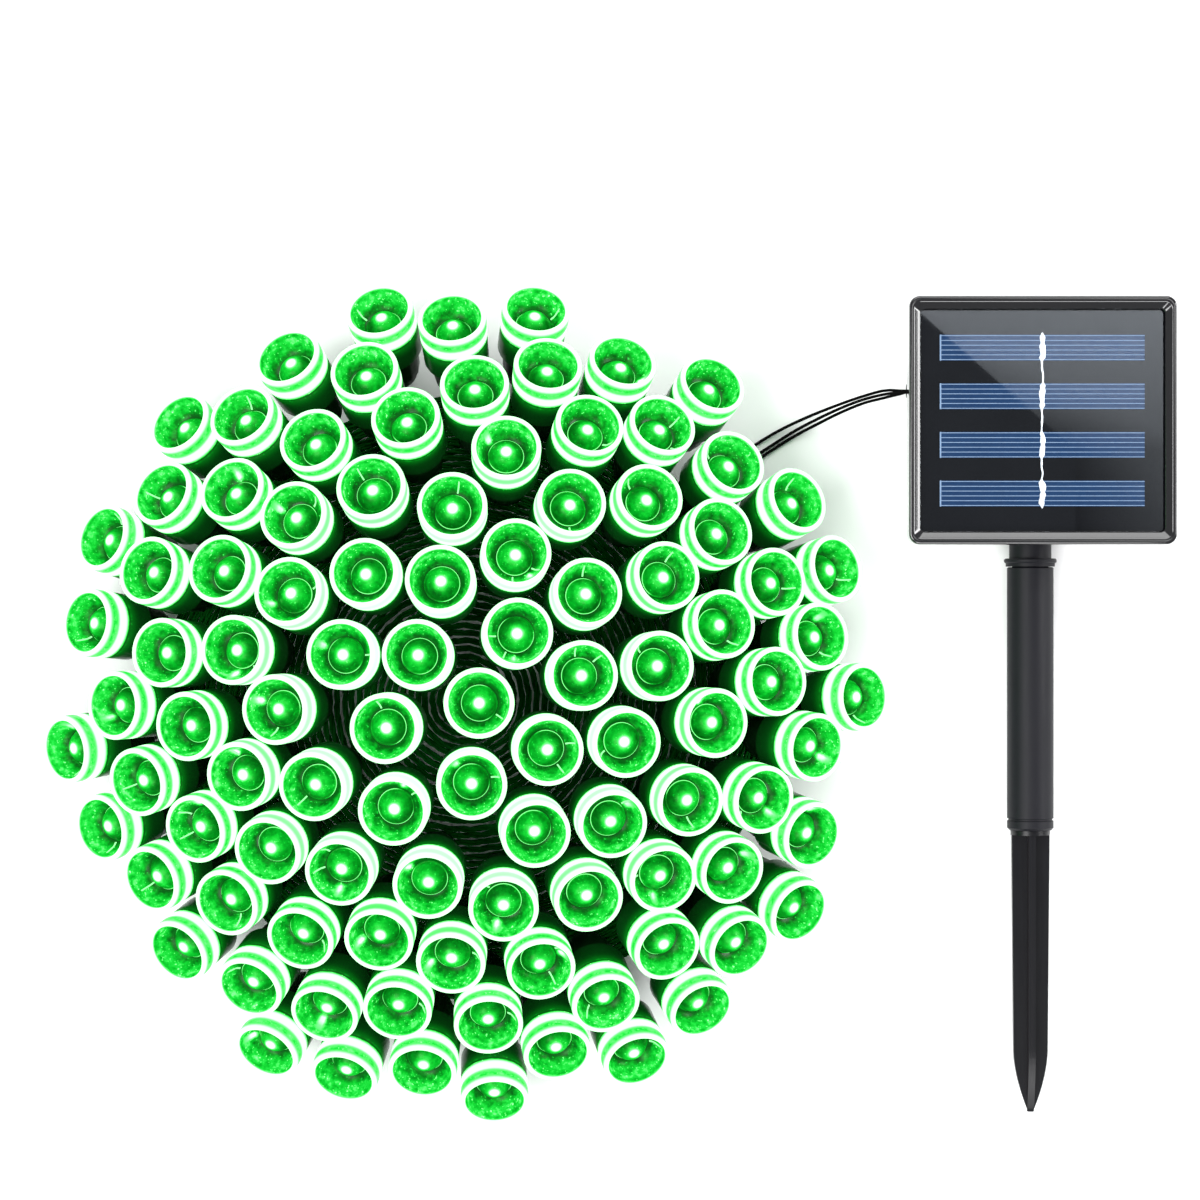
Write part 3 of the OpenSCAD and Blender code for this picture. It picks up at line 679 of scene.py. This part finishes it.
# %% Holders
HOLDER = np.array([
    (2.4, 5.0), (5.8, 5.0), (6.4, 5.3), (6.9, 6.2), (7.4, 7.4), (7.8, 8.8), (8.3, 9.6), (8.7, 12.5),
    (9.2, 16.5), (9.55, 19.6), (9.6, 20.6), (9.2, 20.9), (9.2, 21.3), (9.95, 21.6),
    (9.95, 25.0), (5.0, 25.0), (4.6, 7.4), (2.4, 7.2)])
HOLDER_SIDES = 36
HOLDER_PIECES = 10


def holder_points(which):
    """The holder's turned profile with every third side raised by 3.5% of its radius, about
    0.3 mm, where the cup is plain. That gives its twelve grip ribs."""
    shape = turned(HOLDER, which, HOLDER_SIDES)
    centre = feet[which][:, None, None] + HOLDER[None, :, None, 1:] * MM * axes[which][:, None, None]
    plain = (HOLDER[:, 1] > 9) & (HOLDER[:, 1] < 20.7) & (HOLDER[:, 0] > 8)
    ribs = plain[:, None] * (np.arange(HOLDER_SIDES) % 3 == 0)[None]
    return centre + (shape - centre) * (1 + 0.035 * ribs)[None, ..., None]


holder_finish = moulded("holder_green", (0.0015, 0.02, 0.004), 0.42, shine=0.2)
holders = []
for number, which in enumerate(np.array_split(np.concatenate(shares), HOLDER_PIECES), 1):
    faces = grid_faces(len(HOLDER), HOLDER_SIDES, len(which), wrap_rows=True)
    holders.append(make_piece(f"bulb_holder_set_{number:02d}", holder_points(which), faces,
                              holder_finish, "holder_green", "head_and_string", sharp=40))
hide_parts("bulb_holders")
report("holders", holders)

# %% [markdown]
# ## Panel housing
#
# The front half of the panel's case is a glossy black moulding: a box with a rim that is
# rounded outside and slopes in towards the window. A bevelled box would have the same
# slope on all four sides, but here the top and bottom slopes are wider. So the housing is
# a ring: at each step of its cross-section there is a round-cornered rectangle with a
# half width, a half height, a corner radius and a height of its own, in mm over the
# bottom of the panel. The ring goes up the outside, over the rim, down the flat inner
# slope to a lip on the glass, and back down the inside past the shelf under the sheet.


# %% Rectangles with round corners
def rounded_ring(half_w, half_h, radius, z, steps):
    """Points round rectangles: in each quarter an arc of the corner radius about the
    corner's centre. The arguments are arrays, and the result is (rings, points, 3)."""
    quarter = np.arange(4).repeat(steps + 1)
    a = (quarter + np.tile(np.arange(steps + 1) / steps, 4)) * math.pi / 2
    sx = np.where((quarter == 0) | (quarter == 3), 1, -1)
    sy = np.where(quarter < 2, 1, -1)
    half_w, half_h, radius, z = (np.asarray(v, float)[:, None] for v in (half_w, half_h, radius, z))
    x = sx * (half_w - radius) + radius * np.cos(a)
    y = sy * (half_h - radius) + radius * np.sin(a)
    return np.stack([x, y, z + 0 * x], -1)


case_middle = (np.array(panel_low) + np.array(panel_high)) / 2
back_low, back_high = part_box("back_cover")
panel_z = back_low.z
half_w = (panel_high.x - panel_low.x) / 2 / MM
half_h = (panel_high.y - panel_low.y) / 2 / MM
glass_low, glass_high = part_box("solar_glass")
window_w = (glass_high.x - glass_low.x) / 2 / MM + 0.2
window_h = (glass_high.y - glass_low.y) / 2 / MM + 0.2
BODY_IN = 2.7
STEP_Z = 13.0
LIP = 1.1
WALL = 2
SHELF_Z = 17.8
SHELF_BOTTOM = 16.0
HOLE_W, HOLE_H = 40.0, 35.0
CORNER_STEPS = 10
RIM_Z = (panel_high.z - panel_z) / MM
GLASS_Z = (glass_high.z - panel_z) / MM
HOUSING = np.array([
    (half_w - BODY_IN - 0.3, half_h - BODY_IN - 0.3, 2.7, 2.9),
    (half_w - BODY_IN, half_h - BODY_IN, 3.0, 3.3),
    (half_w - BODY_IN, half_h - BODY_IN, 3.0, STEP_Z - 0.5),
    (half_w - BODY_IN + 0.4, half_h - BODY_IN + 0.4, 3.2, STEP_Z),
    (half_w - 0.5, half_h - 0.5, 3.7, STEP_Z),
    (half_w, half_h, 4.0, STEP_Z + 0.5),
    (half_w, half_h, 4.0, RIM_Z - 1.3),
    (half_w - 0.05, half_h - 0.05, 3.95, RIM_Z - 0.8),
    (half_w - 0.22, half_h - 0.22, 3.8, RIM_Z - 0.35),
    (half_w - 0.5, half_h - 0.5, 3.6, RIM_Z - 0.08),
    (half_w - 0.85, half_h - 0.85, 3.4, RIM_Z - 0.02),
    (half_w - 1.7, half_h - 2.15, 2.8, RIM_Z - 0.05),
    (half_w - 1.95, half_h - 2.4, 2.6, RIM_Z - 0.2),
    (half_w - 2.2, half_h - 2.65, 2.5, RIM_Z - 0.42),
    (window_w - LIP + 0.25, window_h + 0.55, 1.8, GLASS_Z + 0.5),
    (window_w - LIP, window_h + 0.3, 1.7, GLASS_Z + 0.3),
    (window_w - LIP - 0.08, window_h + 0.1, 1.6, GLASS_Z + 0.06),
    (window_w, window_h + 0.1, 1.6, GLASS_Z + 0.04),
    (window_w, window_h, 1.6, SHELF_Z),
    (HOLE_W, HOLE_H, 1.0, SHELF_Z),
    (HOLE_W, HOLE_H, 1.0, SHELF_BOTTOM),
    (half_w - BODY_IN - WALL, half_h - BODY_IN - WALL, 1.2, SHELF_BOTTOM),
    (half_w - BODY_IN - WALL, half_h - BODY_IN - WALL, 1.2, 2.9)])


def gloss_black():
    """Glossy black styrene: deep black, very smooth, with faint flow marks and fine wear."""
    finish = Finish("gloss_black_case")
    flow = finish.noise(22 * MM, 2, 0.5, (1, 0.3, 1))
    wear = finish.noise(0.7 * MM, 4, 0.7).above(0.66, 0.1)
    base = finish.mix(wear * 0.35, (0.0035, 0.0035, 0.0042), (0.02, 0.02, 0.022))
    return finish.surface(
        Base_Color=base, Roughness=0.1 + 0.06 * flow + 0.12 * wear, Coat_Weight=0.7,
        Coat_Roughness=0.03, Normal=finish.bump(finish.noise(9 * MM, 2), 0.2, 0.03 * MM))


case_black = gloss_black()
rings = rounded_ring(*HOUSING.T, CORNER_STEPS) * MM + (case_middle[0], case_middle[1], panel_z)
housing = make_piece("panel_housing", rings, grid_faces(len(HOUSING), rings.shape[1], wrap_rows=True),
                     case_black, "gloss_black_case", "panel", sharp=50)
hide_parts("front_case")
report("housing", [housing])

# %% [markdown]
# ## Solar cells under glass
#
# Four blue strips lie on a charcoal sheet under clear glass. Fine silver fingers run
# along each strip, with a collecting bar at its left end, and a tinned ribbon soldered by
# hand joins the strips down the middle. The fingers are thin bars of their own rather
# than a pattern, because a baked texture would blur them. The ribbon is a strip whose
# width and height wander with smooth random numbers, and it bulges where it is soldered.

# %% Fingers
cells_low, cells_high = (np.array(v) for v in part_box("solar_cells"))
CELL_ROWS = 4
CELL_H = 9.5 * MM
FINGERS = 6
FINGER_W = 0.26 * MM
FINGER_T = 0.1 * MM


def bar(low, high):
    """The eight corners of a bar, as two rings of four."""
    x, y, z = zip(low, high)
    return np.array([(x[a], y[b], z[c]) for c in (0, 1) for a, b in ((0, 0), (1, 0), (1, 1), (0, 1))])


row_middle = np.linspace(cells_low[1] + CELL_H / 2, cells_high[1] - CELL_H / 2, CELL_ROWS)
top = cells_high[2]
bars = []
for y in row_middle:
    for finger in np.linspace(-0.5, 0.5, FINGERS) * (CELL_H - 0.7 * MM):
        bars.append(bar((cells_low[0], y + finger - FINGER_W / 2, top - 0.05 * MM),
                        (cells_high[0], y + finger + FINGER_W / 2, top + FINGER_T)))
    bars.append(bar((cells_low[0], y - CELL_H / 2, top - 0.05 * MM),
                    (cells_low[0] + 0.55 * MM, y + CELL_H / 2, top + 0.08 * MM)))
bar_faces = np.concatenate([grid_faces(2, 4), [[0, 1, 2, 3], [4, 5, 6, 7]]])
finger_faces = (bar_faces[None] + 8 * np.arange(len(bars))[:, None, None]).reshape(-1, 4)


def finger_silver():
    """Printed silver fingers: pale blue grey, half matt, a little uneven in tone."""
    finish = Finish("cell_fingers")
    worn = finish.noise(2 * MM, 3, 0.6)
    base = finish.mix(worn, (0.15, 0.22, 0.33), (0.27, 0.36, 0.48))
    return finish.surface(Base_Color=base, Roughness=0.35 + 0.2 * worn, Metallic=0.2)


fingers = make_piece("cell_fingers", np.array(bars), finger_faces, finger_silver(), "tinned_metal",
                     "panel", sharp=30)
report("cell fingers", [fingers])


# %% Soldered ribbon
def smooth_random(count, knots, low, high):
    """Random numbers that change smoothly: a few knots joined by a cosine ease."""
    values = random.uniform(low, high, knots)
    at = np.linspace(0, knots - 1, count)
    k = np.minimum(at.astype(int), knots - 2)
    ease = (1 - np.cos((at - k) * math.pi)) / 2
    return values[k] * (1 - ease) + values[k + 1] * ease


RIBBON_SIDES = 10
RIBBON_RINGS = 150
POINTED = 1e-7


def ribbon_points():
    """Rings of a flat oval along Y. Its half width is about 0.3 mm, or 0.9 mm where it is
    soldered on a strip, and both the width and the middle wander along it."""
    y = np.linspace(cells_high[1] + 0.9 * MM, cells_low[1] - 0.9 * MM, RIBBON_RINGS)
    nearest = np.abs(y[:, None] - row_middle[None]).min(1)
    on_cell = 1 - np.clip((nearest - CELL_H * 0.42) / (1.2 * MM), 0, 1)
    half = (0.3 + 0.56 * on_cell + smooth_random(RIBBON_RINGS, 64, -0.12, 0.3) * (0.3 + on_cell)) * MM
    half[[0, -1]] = POINTED
    thick = (0.12 + 0.24 * on_cell + smooth_random(RIBBON_RINGS, 70, -0.05, 0.08)) * MM
    thick[[0, -1]] = POINTED
    x = (cells_low[0] + cells_high[0]) / 2 + smooth_random(RIBBON_RINGS, 26, -0.28, 0.28) * MM
    a = np.arange(RIBBON_SIDES) * 2 * math.pi / RIBBON_SIDES
    return np.stack([x[:, None] + half[:, None] * np.cos(a), y[:, None] + 0 * a[None],
                     top + 0.12 * MM + thick[:, None] * np.sin(a)], -1)


shape = ribbon_points()
solder = plated("solder", (0.95, 0.95, 0.95), 0.38, metal=0.25)
ribbon = make_piece("cell_ribbon_soldered", shape, grid_faces(len(shape), RIBBON_SIDES), solder,
                    "tinned_metal", "panel", sharp=60)
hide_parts("cell_ribbon")
report("ribbon", [ribbon])


# %% Cells, sheet and glass
def cell_blue():
    """Blue silicon: dark navy, with a cloudy tone and faint crystal patches."""
    finish = Finish("cell_blue")
    tone = finish.noise(24 * MM, 2)
    crystals = finish.noise(1.8 * MM, 1, 0.4, (1, 0.5, 1))
    base = finish.mix(tone * 0.6 + crystals * 0.4, (0.006, 0.021, 0.062), (0.014, 0.042, 0.1))
    return finish.surface(Base_Color=base, Roughness=0.012 + 0.012 * tone)


def sheet_black():
    """Smooth charcoal sheet behind the cells, with a faint cloudy tone."""
    finish = Finish("backsheet")
    tone = finish.noise(20 * MM, 2)
    base = finish.mix(tone, (0.003, 0.003, 0.0036), (0.006, 0.006, 0.007))
    return finish.surface(Base_Color=base, Roughness=0.012 + 0.012 * tone)


def cover_glass():
    """Clear glass as a thin layer: it lets light straight through, and its reflection grows as
    the fifth power of how edge-on it is seen. The sheet under it reflects from straight above."""
    finish = Finish("cover_glass")
    clear = finish.add("BsdfTransparent", {}, {"Color": (0.93, 0.95, 0.97, 1)})
    smear = finish.noise(18 * MM, 3, 0.6, (1, 0.5, 1))
    shine = finish.add("BsdfAnisotropic", {}, {"Color": (1, 1, 1, 1), "Roughness": 0.015 + 0.01 * smear})
    edge_on = finish.add("LayerWeight", {}, {"Blend": 0.5}, out=1)
    layer = finish.add("MixShader", {}, {0: edge_on ** 5, 1: clear, 2: shine})
    finish.add("OutputMaterial", {}, {"Surface": layer})
    return finish.material


def dress(node, material):
    """Gives a CAD node a finish by its material slot. Its mesh stays as it is."""
    mesh = nodes[node].data
    if mesh.materials:
        mesh.materials[0] = material
    else:
        mesh.materials.append(material)


dress("solar_cells", cell_blue())
dress("cell_backsheet", sheet_black())
dress("solar_glass", cover_glass())
print("solar laminate dressed")

# %% [markdown]
# ## The rest of the panel, the stake and the hidden parts
#
# These CAD nodes have the right shape, so each only gets its finish: textured black for
# the cover and bracket, soft rubber for buttons and gaskets, plated steel for screws, and
# what lies inside the case keeps the look that it has on a real board. The stake is matt
# charcoal with a fine grain and long moulding marks, and the spike is a glossier black.


# %% Finishes of the CAD nodes
def stake_matt(name, colour, rough, mark, shine):
    """Matt moulded tube: fine grain, a cloudy tone, and marks stretched along the stake."""
    finish = Finish(name)
    grain = finish.noise(0.35 * MM, 3, 0.6)
    marks = finish.noise(1.6 * MM, 3, 0.6, (1, 0.06, 1))
    tone = finish.noise(25 * MM, 2)
    base = finish.mix(tone, colour, tuple(c * 1.6 + 0.001 for c in colour))
    height = grain * 0.6 + marks * mark
    return finish.surface(Base_Color=base, Roughness=rough + 0.14 * marks, Specular_IOR_Level=shine,
                          Normal=finish.bump(height, 0.5, 0.04 * MM))


FINISHES = {
    "back_cover battery_door tilt_bracket": moulded("black_cover", (0.008, 0.008, 0.009), 0.42),
    "cover_gasket battery_door_gasket cable_gland mode_button":
        moulded("black_rubber", (0.012, 0.012, 0.013), 0.62, 0.4 * MM),
    "case_screws battery_door_screws bracket_screws pivot_bolt pivot_washer battery_contacts":
        plated("plated_steel", (0.62, 0.62, 0.63), 0.28),
    "led_legs": plated("tinned_legs", (0.7, 0.7, 0.68), 0.35),
    "circuit_board": moulded("board_green", (0.01, 0.09, 0.035), 0.35, coat=0.4),
    "board_components tact_switches": moulded("component_black", (0.015, 0.015, 0.017), 0.4),
    "battery": moulded("battery_sleeve", (0.02, 0.11, 0.3), 0.3, coat=0.5),
    "power_button": moulded("red_rubber", (0.42, 0.02, 0.014), 0.5, 0.4 * MM),
    "thumb_nut": moulded("knob_black", (0.01, 0.01, 0.011), 0.38),
    "stake_head stake_tube": stake_matt("stake_matte", (0.0022, 0.0022, 0.0042), 0.46, 0.8, 0.22),
    "ground_spike": stake_matt("spike_black", (0.002, 0.002, 0.003), 0.24, 0.4, 0.25),
    "led_chips": moulded("led_chip", (0.7, 0.68, 0.3), 0.4),
    "holder_boots": wire_green}
for names, finish in FINISHES.items():
    for node in names.split():
        dress(node, finish)
print("dressed", sum(len(names.split()) for names in FINISHES), "CAD nodes")

# %% [markdown]
# ## Floor and studio light
#
# A plain pale floor lies under the object. Gloss black only looks black when it has
# something dark to mirror, so the world is a middle grey and four large soft lamps stand
# well to the sides, where the panel's level faces don't mirror them into the camera. Its
# inner slopes do: the left one mirrors the lamp on the right, and the lower one the large
# lamp at the top. One card over the panel is what its glass mirrors. Its lower left edge makes
# the diagonal line across the glass, and its light fades towards its lower end.

# %% Floor
floor_finish = Finish("floor_paper")
paper = floor_finish.noise(60 * MM, 2)
floor_finish.surface(Base_Color=floor_finish.mix(paper, (0.88, 0.88, 0.88), (0.9, 0.9, 0.9)),
                     Roughness=0.9, Specular_IOR_Level=0.1)
REACH = 4.0
floor_mesh = bpy.data.meshes.new("floor")
floor_corners = [(x * REACH, y * REACH, 0) for x, y in ((-1, -1), (1, -1), (1, 1), (-1, 1))]
floor_mesh.from_pydata(floor_corners, [], [(0, 1, 2, 3)])
floor_mesh.materials.append(floor_finish.material)
floor = bpy.data.objects.new("floor", floor_mesh)
bpy.context.scene.collection.objects.link(floor)

# %% World and lamps
world = bpy.data.worlds.new("studio")
world.use_nodes = True
sky = world.node_tree.nodes["Background"].inputs
sky["Color"].default_value = (0.95, 0.97, 1.0, 1)
sky["Strength"].default_value = 0.42
bpy.context.scene.world = world


def soft_lamp(name, place, size, power):
    """A square area lamp that looks at the middle of the object."""
    data = bpy.data.lights.new(name, "AREA")
    data.size = size
    data.energy = power
    lamp = bpy.data.objects.new(name, data)
    lamp.location = place
    lamp.rotation_euler = lamp.location.to_track_quat("Z", "Y").to_euler()
    bpy.context.scene.collection.objects.link(lamp)


soft_lamp("lamp_left", (-0.8, -0.2, 1.5), 0.9, 26)
soft_lamp("lamp_right", (1.5, 0.3, 0.85), 0.75, 24)
soft_lamp("lamp_top", (0.1, 1.4, 1.15), 1.4, 26)
soft_lamp("lamp_front", (0.1, -1.1, 1.45), 0.9, 20)
print("four lamps")


# %% Card that the glass mirrors
def mirrored(point, height):
    """Where the camera's view of a point on the glass goes on to, at a given height."""
    glass = np.array([*point, glass_high.z])
    eye = np.array(camera.location)
    reach = (height - glass[2]) / (eye[2] - glass[2])
    return np.array([*(glass + (glass - eye) * reach)[:2], height])


CARD_Z = 0.9
EDGE = 12 * MM
card_right, card_low = glass_high.x + EDGE, glass_low.y - EDGE
bend_x, bend_y = glass_low.x + 58 * MM, glass_high.y - 51 * MM
CARD = [((glass_low.x - 1 * MM, glass_high.y + 1 * MM), 4.4),
        ((card_right, glass_high.y + EDGE), 6.0),
        ((bend_x, bend_y), 0.4),
        ((card_right, bend_y), 2.6),
        ((bend_x, card_low), 0.1),
        ((card_right, card_low), 1.4)]
CARD_FACES = [(0, 2, 3, 1), (2, 4, 5, 3)]
card_mesh = bpy.data.meshes.new("light_card")
card_mesh.from_pydata([mirrored(point, CARD_Z) for point, _ in CARD], [], CARD_FACES)
bright = card_mesh.attributes.new("bright", "FLOAT", "POINT")
bright.data.foreach_set("value", [light for _, light in CARD])
card_finish = Finish("light_card")
card_light = card_finish.add("Attribute", {"attribute_name": "bright"}, out=2)
emission = card_finish.add("Emission", {}, {"Strength": card_light})
card_finish.add("OutputMaterial", {}, {"Surface": emission})
card_mesh.materials.append(card_finish.material)
card = bpy.data.objects.new("light_card", card_mesh)
card.visible_camera = False
bpy.context.scene.collection.objects.link(card)
print("studio: floor, world, four lamps and a card")
